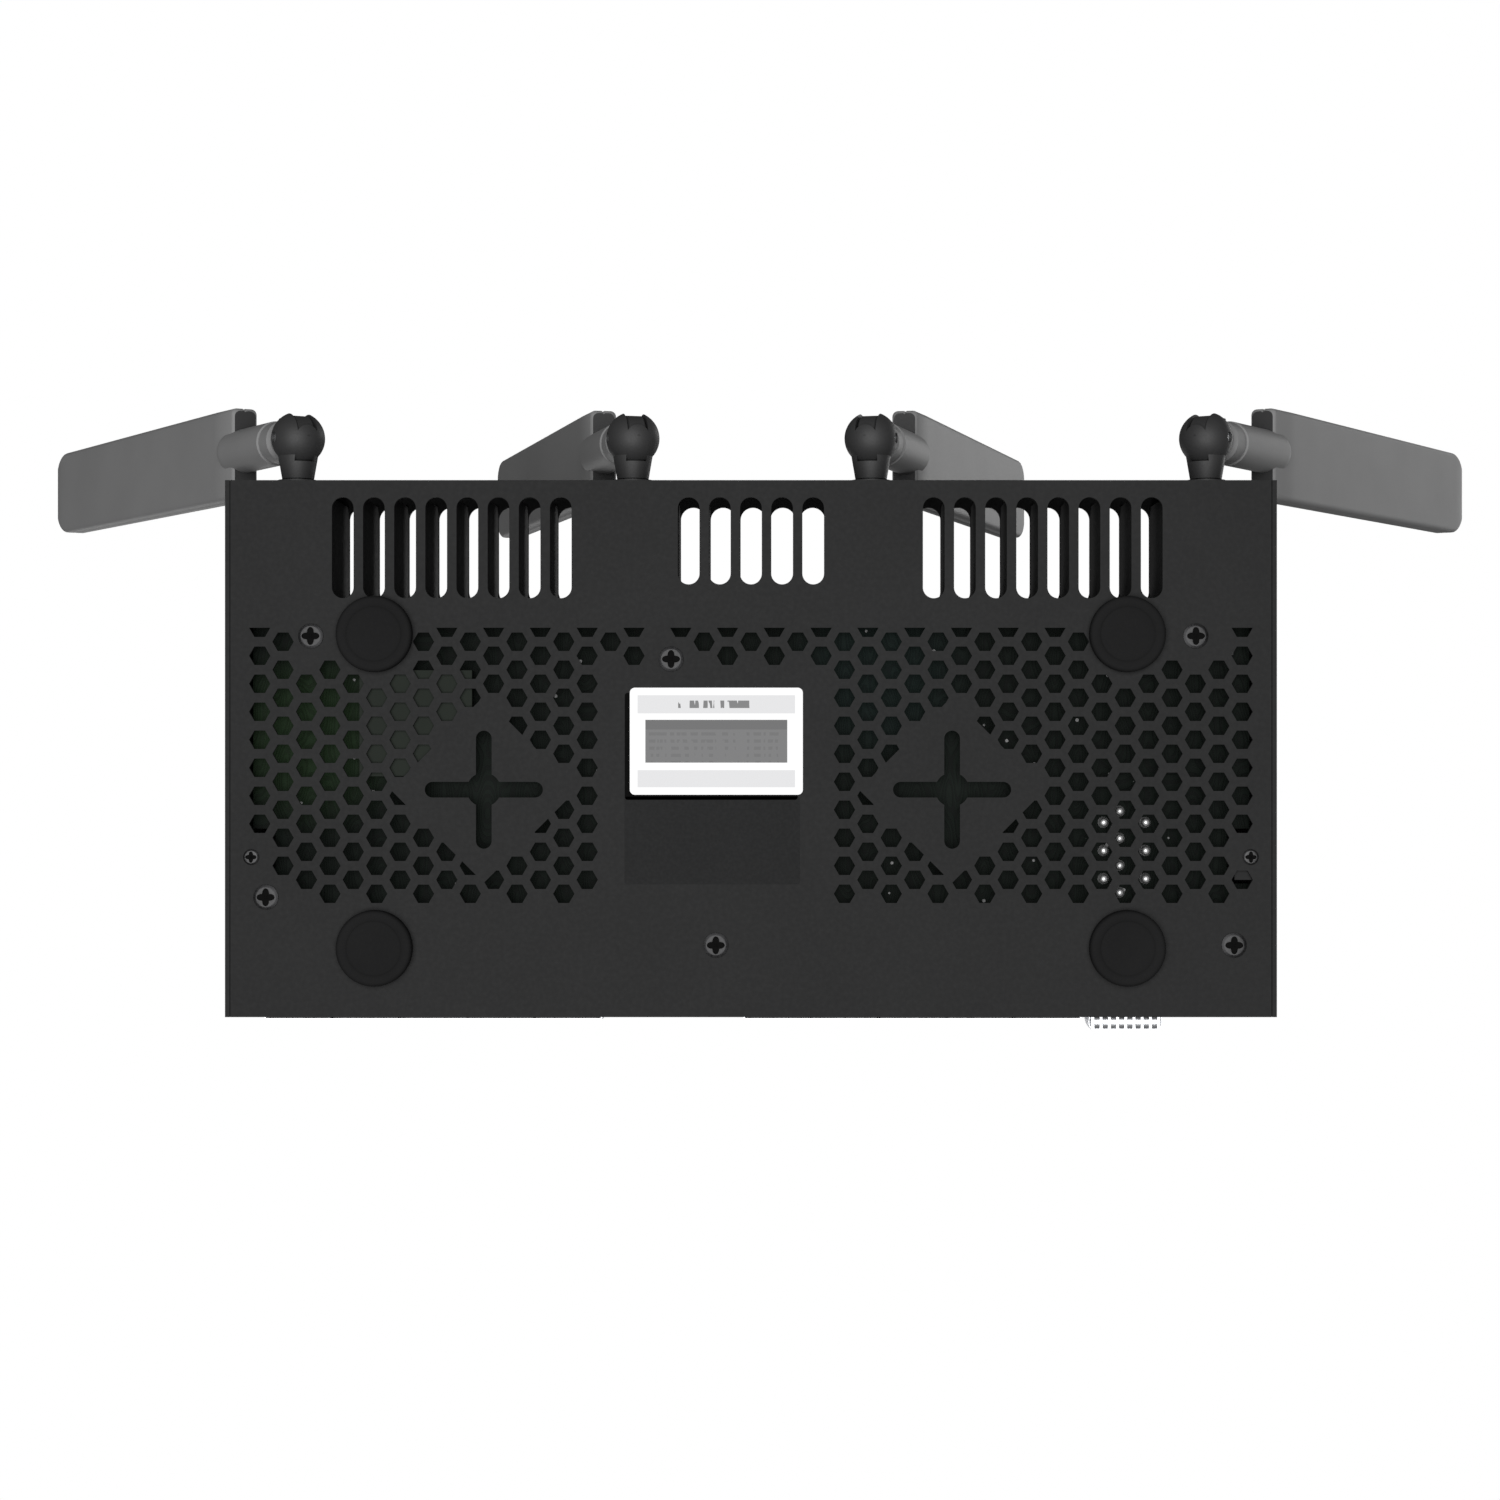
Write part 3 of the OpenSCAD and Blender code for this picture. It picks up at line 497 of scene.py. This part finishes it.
for number in range(1, 5):
    origin, axes = antenna_frame(number)
    low, high = own_box(f"antenna_sleeve_{number}", origin, axes)
    body = f"antenna_{number}"
    piece(f"paddle_{number}", [skin(placed(paddle_rings(low, high), origin, axes))], antenna_grey, body,
          50, [f"antenna_sleeve_{number}"])
    arm_low, arm_high = own_box(f"antenna_arm_{number}", origin, axes)
    tongue_low = arm_low[2]
    ball_low, ball_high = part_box(f"antenna_knuckle_{number}")
    ball = (ball_high.x - ball_low.x) / 2
    rod = arm_rings(arm_low, arm_high, ball + arm_seat)
    piece(f"arm_{number}", [skin(placed(rod, origin, axes))], antenna_grey, body,
          40, [f"antenna_arm_{number}"])
    tongue = skin(placed(tongue_rings(tongue_low, ball + 2 * arm_seat, tongue_thick), origin, axes))
    # The plug in the root is painted shade, in the dark hinge plastic.
    plug = skin(placed(painted_shade_plug_rings(low, high), origin, axes))
    piece(f"hinge_tongue_{number}", [tongue, plug], hinge_black, body, 40)
    band = skin(placed(band_rings(ball, -tongue_low + tongue_room), origin, axes))
    piece(f"ball_band_{number}", [band], hinge_black, f"knuckle_{number}", 40)
print("antenna length from the hinge, mm:", round(high[2] / MM, 1))

# %% [markdown]
# ## Rubber feet
#
# A foot is a turned disc with a rounded rim and a slightly hollow face, so that
# it grips by its edge. A shallow ring marks where the moulding tool parted.

# %% Feet
def clusters(name, gap=2.0):
    """Lowest and highest corners of the separate small solids in a CAD node. Points are put in square cells
    one gap wide, in mm, and cells that touch belong to one solid."""
    points = points_of(name)
    cells = np.round(points[:, :2] / (gap * MM)).astype(int)
    keys = np.unique(cells, axis=0)
    groups = []
    for key in keys:
        near = [g for g in groups if np.abs(np.array(g) - key).max(axis=1).min() <= 1]
        joined = [key] + [k for g in near for k in g]
        groups = [g for g in groups if not any(g is n for n in near)] + [joined]
    found = []
    for group in groups:
        inside = (cells[:, None, :] == np.array(group)[None]).all(axis=-1).any(axis=1)
        found.append((points[inside].min(axis=0), points[inside].max(axis=0)))
    return sorted(found, key=lambda b: tuple(np.round(b[0], 5)))


def foot_rings(low, high):
    """Radius and height from the case to the floor: straight side, quarter-round rim, ring and hollow."""
    radius = (high[0] - low[0]) / 2
    rim = 0.9 * MM
    turn = np.linspace(0, np.pi / 2, 6)
    radii = [radius, radius] + list(radius - rim + rim * np.cos(turn[1:]))
    heights = [high[2], low[2] + rim] + list(low[2] + rim - rim * np.sin(turn[1:]))
    radii += [radius - 2.0 * MM, radius - 2.4 * MM, radius - 2.8 * MM, radius * 0.4]
    heights += [low[2], low[2] + 0.25 * MM, low[2] + 0.1 * MM, low[2] + 0.3 * MM]
    rings = turned(radii, heights, 56)
    rings[..., :2] += (low[:2] + high[:2]) / 2
    return rings


feet = clusters("rubber_feet")
piece("feet", [skin(foot_rings(*b)) for b in feet], foot_rubber, "case", 40, ["rubber_feet"])
print("feet:", len(feet))

# %% [markdown]
# ## Screws
#
# The underside screws are small pan heads of dark zinc-plated steel with a cross
# recess. A head is a turned dome whose middle rings take a four-lobed outline and
# sink inwards. The bright rim round a dark cross is what tells a screw from a
# hole at a distance. The depth of the recess is kept with the points, and the
# finish paints shade into the recess with it: darker colour and no metal shine
# where it is deep.

# %% Screw finish
def screw_finish(name, rim, inside):
    """Plated steel with fine turning marks. Painted shade: it turns to the dark inside colour, and loses its metal
    shine, with the depth kept on the mesh.
    """
    material, tree, surface, coords = blank(name)
    deep = node(tree, "ShaderNodeAttribute", attribute_name="depth").outputs["Fac"]
    fine = noise(tree, coords, 2600, 3.0)
    tone = mixed(tree, spread_to(tree, fine, 0, 1), shade(rim, 0.85), shade(rim, 1.15))
    tree.links.new(mixed(tree, deep, tone, inside), surface.inputs["Base Color"])
    tree.links.new(spread_to(tree, fine, 0.32, 0.46), surface.inputs["Roughness"])
    bump = node(tree, "ShaderNodeBump", inputs={"Height": fine, "Distance": 0.01 * MM, "Strength": 0.5})
    tree.links.new(bump.outputs[0], surface.inputs["Normal"])
    # Painted shade: metallic and specular fall to nothing deep in the recess.
    shine = maths(tree, "SUBTRACT", 1.0, deep)
    tree.links.new(shine, surface.inputs["Metallic"])
    tree.links.new(shine, surface.inputs["Specular IOR Level"])
    return material


# The inside colour of both finishes is the painted shade of the screw recess.
screw_plate = screw_finish("dark_zinc_plate", (0.036, 0.036, 0.037), (0.006, 0.006, 0.006, 1))
screw_bright = screw_finish("bright_zinc_plate", (0.05, 0.05, 0.051), (0.006, 0.006, 0.006, 1))

# %% [markdown]
# A head is low and wide, so its height and recess are named here and its radius
# comes from the CAD node. The shank is a plain turned rod, because its thread
# is hidden in the metal.

# %% Screw heads
head_height = 0.8 * MM
recess_depth = 0.45 * MM
recess_share = 0.72


def head_rings(centre, radius, base):
    """A pan head that hangs below its base. Going inwards it is a short side, a dome that falls as one minus
    the square of the share of the radius, a four-lobed edge, and the recess that rises back up to a point."""
    around = 48
    angle = np.linspace(0, 2 * np.pi, around, endpoint=False)
    lobes = 0.55 + 0.45 * np.abs(np.cos(2 * angle)) ** 1.5
    share = np.linspace(1, recess_share + 0.06, 6)
    recess = radius * np.array([recess_share, recess_share, 0.3, 0.05])
    radii = np.concatenate([[radius], radius * share, recess])
    drop = head_height * (0.35 + 0.65 * (1 - share**2))
    face = drop[-1]
    floor_drop = [face, face - recess_depth * 0.7, face - recess_depth, 0.3 * MM]
    heights = base - np.concatenate([[0], drop, floor_drop])
    lobed = np.concatenate([np.zeros(7), np.ones(4)])[:, None]
    rings = turned(radii, heights, around)
    rings[..., :2] *= (1 - lobed + lobed * lobes[None])[..., None]
    rings[..., :2] += centre[:2]
    # This depth share, 0.7 at the recess edge and 1 inside, drives the painted shade of the screw finish.
    depth = np.repeat(np.concatenate([np.zeros(7), [0.7, 1, 1, 1]]), around)
    return rings, np.concatenate([depth, [0, 1]])


def screw_set(node_name, shank_radius, material, tag):
    """Heads and shanks for all the screws of one CAD node."""
    skins, depths = [], []
    for low, high in clusters(node_name):
        centre = (low + high) / 2
        base = low[2] + head_height
        rings, depth = head_rings(centre, (high[0] - low[0]) / 2, base)
        shank = turned([shank_radius] * 2, [base, high[2]], 20)
        shank[..., :2] += centre[:2]
        skins += [skin(rings), skin(shank)]
        depths += [depth, np.zeros(len(shank) * 20 + 2)]
    piece(f"{tag}_heads", skins, material, "case", 35, [node_name], depths)
    return len(skins) // 2


print("screws:", screw_set("base_screws", 1.25 * MM, screw_plate, "base_screw"),
      screw_set("cover_screws", 1.24 * MM, screw_bright, "cover_screw"))

# %% [markdown]
# ## Rating label
#
# The label is a thin white card with round corners. Its print is generic: a
# short dashed heading, a grey block crossed by darker rows, and a pale band
# along the foot. The print is worked out from the object coordinates, so it
# needs no picture and no lettering.

# %% Label
def between(tree, value, low, high):
    """1 where a value lies between low and high, and 0 elsewhere."""
    above = maths(tree, "GREATER_THAN", value, low)
    return maths(tree, "MULTIPLY", above, maths(tree, "LESS_THAN", value, high))


def patch_of(tree, up, across, rows, columns):
    """1 inside a rectangle given by its lowest and highest share of the height and of the width."""
    return maths(tree, "MULTIPLY", between(tree, up, *rows), between(tree, across, *columns))


def label_print(low, high):
    """White card; shares of the card's width and height place the heading, the block and the foot band."""
    material, tree, surface, coords = blank("label_generic_print")
    size = [high[k] - low[k] for k in range(2)]
    mapping = node(tree, "ShaderNodeMapping", inputs={
        "Vector": coords, "Scale": (1 / size[0], 1 / size[1], 1),
        "Location": (-low[0] / size[0], -low[1] / size[1], 0)})
    axes = node(tree, "ShaderNodeSeparateXYZ", inputs={0: mapping.outputs[0]}).outputs
    across, up = axes[0], axes[1]
    white, pale, grey = (0.86, 0.86, 0.86, 1), (0.66, 0.66, 0.67, 1), (0.125, 0.125, 0.127, 1)
    dashes = noise(tree, coords, 1100, 1.0, (1, 0.1, 1))
    dash_on = maths(tree, "GREATER_THAN", dashes, 0.5)
    heading = maths(tree, "MULTIPLY", patch_of(tree, up, across, (0.81, 0.88), (0.27, 0.74)), dash_on)
    heading_band = patch_of(tree, up, across, (0.76, 0.93), (0.045, 0.955))
    block_area = patch_of(tree, up, across, (0.30, 0.70), (0.09, 0.91))
    rows = maths(tree, "MODULO", maths(tree, "MULTIPLY", up, 15.0), 1.0)
    row_on = maths(tree, "MULTIPLY", between(tree, rows, 0.3, 0.75), dash_on)
    band = patch_of(tree, up, across, (0.07, 0.23), (0.045, 0.955))
    colour = mixed(tree, band, white, pale)
    colour = mixed(tree, heading_band, colour, pale)
    colour = mixed(tree, heading, colour, shade(grey, 1.2))
    edge_rows = between(tree, up, 0.61, 0.70)
    block_grey = mixed(tree, edge_rows, mixed(tree, row_on, grey, shade(grey, 0.8)), shade(grey, 0.72))
    colour = mixed(tree, block_area, colour, block_grey)
    tree.links.new(colour, surface.inputs["Base Color"])
    fibres = noise(tree, coords, 1600, 3.0)
    bump = node(tree, "ShaderNodeBump", inputs={"Height": fibres, "Distance": 0.01 * MM, "Strength": 0.3})
    tree.links.new(bump.outputs[0], surface.inputs["Normal"])
    surface.inputs["Roughness"].default_value = 0.5
    return material


label_low, label_high = (np.array(v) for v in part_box("rating_label"))
label_middle = (label_low + label_high)[:2] / 2
label_half = (label_high - label_low)[:2] / 2
card = rounded_rectangle(*label_half, 1.1 * MM, 8) + label_middle
card_rings = [np.column_stack([card, np.full(len(card), z)]) for z in (label_high[2], label_low[2])]
piece("label_card", [skin(card_rings)], label_print(label_low, label_high), "case", 30,
      ["rating_label"])
print("label, mm:", np.round((label_high - label_low) / MM, 1))

# %% [markdown]
# Two thin films lie on the metal round the label. A black film, set a little
# off the card, shows as a dark line along two of the label's edges: it is a
# painted shadow of the label's edge. A blank film of the case's own colour
# marks where a second label would go.

# %% Films under and below the label
def film(name, middle, half, top, thick, material):
    """A flat card with square-cut edges and small round corners."""
    outline = rounded_rectangle(half[0], half[1], 0.6 * MM, 5) + middle
    rings = [np.column_stack([outline, np.full(len(outline), z)]) for z in (top, top - thick)]
    piece(name, [skin(rings)], material, "case", 30)


film_thick = 0.04 * MM
# The black film is painted shadow: a dark line along two edges of the label, where the edge casts shade.
shadow_film_shift = np.array([1.1, -1.1]) * MM
painted_shadow_black = coated("label_painted_shadow", (0.0015, 0.0015, 0.0015), 0.7, grain=1500, relief=0.01, vary=0.1,
                       specular=0.05)
blank_film = coated("blank_film", (0.0125, 0.0127, 0.013), 0.7, grain=1500, relief=0.02, vary=0.08,
                    specular=0.15)
film("label_painted_shadow", label_middle + shadow_film_shift, label_half, label_high[2], film_thick, painted_shadow_black)
blank_middle = label_middle + np.array([0.9, -21.5]) * MM
blank_half = np.array([19.0, 9.5]) * MM
film("blank_film", blank_middle, blank_half, label_high[2], film_thick, blank_film)

# %% [markdown]
# ## Spring fingers on the fibre cage
#
# The lip of the cage carries a comb of sprung metal fingers that press on the
# panel. Each finger is a thin strip bowed outwards, by half a sine wave over its
# length. They stand on all four sides of the lip and catch the light as stripes.

# %% Spring fingers
finger_pitch = 1.8 * MM
finger_wide = 1.2 * MM
finger_bow = 0.45 * MM
finger_thick = 0.12 * MM
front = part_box("bottom_tray")[0].y


def finger(start, out, across, length):
    """A strip from a start point towards +Y. At each step it stands off its face by the bow times the sine
    of half a turn, and its ring is a thin rectangle."""
    steps = np.linspace(0, 1, 11)[:, None]
    middle = start + out * (finger_bow * np.sin(np.pi * steps) + finger_thick / 2)
    middle = middle + steps * np.array([0, length, 0])
    corners = np.array([across * s * finger_wide / 2 + out * u * finger_thick / 2
                        for s, u in ((1, 1), (-1, 1), (-1, -1), (1, -1))])
    return middle[:, None] + corners[None]


cage_low, cage_high = (np.array(v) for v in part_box("fibre_cage"))
cage_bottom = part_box("main_board")[1].z
lip_length = front - cage_low[1] - 0.25 * MM
finger_root = cage_low[1] + 0.2 * MM
first_in, last_in = 1.2 * MM, 0.9 * MM
along_x, along_z = np.array([1.0, 0, 0]), np.array([0, 0, 1.0])
finger_skins = []
for side, face_z in ((1.0, cage_high[2]), (-1.0, cage_bottom)):
    for x in np.arange(cage_low[0] + first_in, cage_high[0] - last_in, finger_pitch):
        start = np.array([x, finger_root, face_z])
        finger_skins.append(skin(finger(start, side * along_z, along_x, lip_length)))
for side, face_x in ((1.0, cage_high[0]), (-1.0, cage_low[0])):
    for z in np.arange(cage_bottom + first_in, cage_high[2] - last_in, finger_pitch):
        start = np.array([face_x, finger_root, z])
        finger_skins.append(skin(finger(start, side * along_x, along_z, lip_length)))
piece("cage_fingers", finger_skins, tin, "case", 40)
print("fingers:", len(finger_skins))

# %% [markdown]
# ## Solder on the cage pins
#
# Each pin of the cage comes through the board in a small cone of solder. The
# cone's radius falls as the square of what is left of its height, which is the
# hollow curve that melted solder takes. They are the row of bright points that
# shows through the vents.

# %% Solder cones
def solder_rings(centre, base, height, foot, pin):
    """A hollow-sided cone that hangs from the board and ends in a rounded cap under the pin."""
    share = np.linspace(0, 1, 7)
    radii = np.concatenate([pin + (foot - pin) * (1 - share) ** 2, [pin * 0.7, pin * 0.15]])
    heights = base - height * np.concatenate([share, [1.12, 1.18]])
    rings = turned(radii, heights, 20)
    rings[..., :2] += centre[:2]
    return rings


board_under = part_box("main_board")[0].z
cage_points = points_of("fibre_cage")
pin_points = cage_points[cage_points[:, 2] < board_under - 1.0 * MM]
pins = []
for point in pin_points:
    if all(np.hypot(*(point - other)[:2]) > 1.5 * MM for other in pins):
        near = pin_points[np.hypot(*(pin_points - point)[:, :2].T) < 1.5 * MM]
        pins.append((near.min(axis=0) + near.max(axis=0)) / 2)
solder = coated("tin_solder", (0.8, 0.8, 0.8), 0.35, metal=0.7, grain=1800, relief=0.01, vary=0.08)
cone_high, cone_foot, pin_radius = 1.75 * MM, 1.25 * MM, 0.75 * MM
cones = [skin(solder_rings(pin, board_under, cone_high, cone_foot, pin_radius)) for pin in pins]
piece("cage_solder", cones, solder, "case", 50)
print("cage pins:", len(pins))

# %% [markdown]
# ## Floor, light and camera
#
# The router stands on a pale floor, and the camera looks straight up at its
# underside. The floor therefore shows only to rays that meet it from above, and
# it throws no light or shadow upwards. A white surrounding light gives the even
# studio look. A broad lamp below lights the underside, and a stronger one to one
# side makes the paddles on that side brighter than those on the other.

# %% Floor
def floor_material():
    """Pale and matte from above, clear from below."""
    material, tree, surface, coords = blank("pale_floor")
    surface.inputs["Base Color"].default_value = (0.85, 0.85, 0.85, 1)
    surface.inputs["Roughness"].default_value = 0.8
    clear = node(tree, "ShaderNodeBsdfTransparent")
    back = node(tree, "ShaderNodeNewGeometry").outputs["Backfacing"]
    output = tree.nodes["Material Output"]
    mix = node(tree, "ShaderNodeMixShader", inputs={0: back})
    tree.links.new(surface.outputs[0], mix.inputs[1])
    tree.links.new(clear.outputs[0], mix.inputs[2])
    tree.links.new(mix.outputs[0], output.inputs["Surface"])
    return material


floor_half = 4.0
floor_mesh = bpy.data.meshes.new("floor")
floor_mesh.from_pydata(
    [(-floor_half, -floor_half, 0), (floor_half, -floor_half, 0), (floor_half, floor_half, 0),
     (-floor_half, floor_half, 0)], [], [(0, 1, 2, 3)])
floor_mesh.materials.append(floor_material())
floor = bpy.data.objects.new("floor", floor_mesh)
bpy.context.scene.collection.objects.link(floor)
floor.visible_shadow = False
floor.visible_diffuse = False
floor.visible_glossy = False

# %% [markdown]
# The camera sees pure white round the router, while the metal is lit by only a
# little of it, as over a light table. Three square lamps do the rest.

# %% World and lamps
scene = bpy.context.scene
world = bpy.data.worlds.new("white_studio")
world.use_nodes = True
scene.world = world
tree = world.node_tree
tree.nodes["Background"].inputs["Color"].default_value = (1, 1, 1, 1)
tree.nodes["Background"].inputs["Strength"].default_value = 0.12
seen = node(tree, "ShaderNodeBackground", inputs={"Color": (1, 1, 1, 1), "Strength": 1.0})
is_camera = node(tree, "ShaderNodeLightPath").outputs["Is Camera Ray"]
blend = node(tree, "ShaderNodeMixShader", inputs={0: is_camera})
tree.links.new(tree.nodes["Background"].outputs[0], blend.inputs[1])
tree.links.new(seen.outputs[0], blend.inputs[2])
tree.links.new(blend.outputs[0], tree.nodes["World Output"].inputs["Surface"])
scene.view_settings.view_transform = "Standard"


def lamp(name, place, size, power, aim=(0, 0, 0.03)):
    """A square soft lamp that faces its aim."""
    data = bpy.data.lights.new(name, "AREA")
    data.energy, data.size = power, size
    made = bpy.data.objects.new(name, data)
    made.location = place
    direction = Vector(aim) - Vector(place)
    made.rotation_euler = direction.to_track_quat("-Z", "Y").to_euler()
    scene.collection.objects.link(made)
    return made


lamp("below_lamp", (0.1, 0.0, -1.5), 1.6, 31.0)
lamp("side_lamp", (-1.0, 0.2, 1.15), 0.8, 5.5)
lamp("top_lamp", (0.5, -0.7, 1.3), 0.9, 4.0)

# %% [markdown]
# The camera looks along the world's Z, and stands a little to one side, so the
# inner walls of the slots show more on one side than on the other. Its lens
# follows from its distance and from the width it should take in.

# %% Camera
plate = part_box("bottom_tray")
case_middle = (plate[0] + plate[1]) / 2
camera_distance = 0.603
frame_width_at_plate = 0.3251
aside, ahead = -10.2 * MM, 1.0 * MM
shift_right, shift_up = -0.032, -0.004
data = bpy.data.cameras.new("camera")
data.sensor_width = 36
data.lens = data.sensor_width * camera_distance / frame_width_at_plate
data.shift_x, data.shift_y = shift_right, shift_up
camera = bpy.data.objects.new("camera", data)
camera.location = (case_middle.x + aside, case_middle.y + ahead, plate[0].z - camera_distance)
camera.rotation_euler = (0, math.pi, 0)
scene.collection.objects.link(camera)
scene.camera = camera
print("lens, mm:", round(data.lens, 1))
